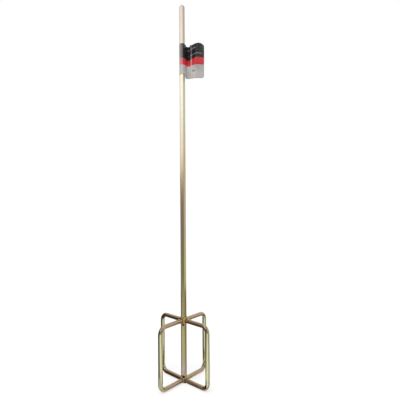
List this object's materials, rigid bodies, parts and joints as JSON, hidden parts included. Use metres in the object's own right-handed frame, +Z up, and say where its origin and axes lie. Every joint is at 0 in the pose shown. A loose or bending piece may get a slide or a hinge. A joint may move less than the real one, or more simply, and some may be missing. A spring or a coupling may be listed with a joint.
{
  "type": "mortar mixing paddle",
  "caption": "Drill-driven mixing paddle: a long hexagonal steel shaft with a welded open cage of bent round bar at its foot, for stirring mortar.",
  "frame": {"origin": "on the shaft's axis, level with the underside of the cage", "axes": "+Z up along the shaft from the cage to the tip; +X and +Y along two neighbouring arms of the cage"},
  "size_m": [0.125, 0.125, 0.711],
  "materials": {
    "plated_steel": "glossy yellow-passivated zinc plate with a gold, olive and pink sheen",
    "weld_bead": "the same plate over rough weld metal, browner and duller",
    "printed_film": "glossy printed film in plain black, red and pale grey bands"
  },
  "bodies": {
    "root": {"hex_shaft": "plated_steel", "cage_arm_1": "plated_steel", "cage_arm_2": "plated_steel", "cage_arm_3": "plated_steel", "cage_arm_4": "plated_steel", "upper_weld_1": "weld_bead", "upper_weld_2": "weld_bead", "upper_weld_3": "weld_bead", "upper_weld_4": "weld_bead", "lower_weld_1": "weld_bead", "lower_weld_2": "weld_bead", "lower_weld_3": "weld_bead", "lower_weld_4": "weld_bead", "label": "printed_film"}
  },
  "joints": []
}
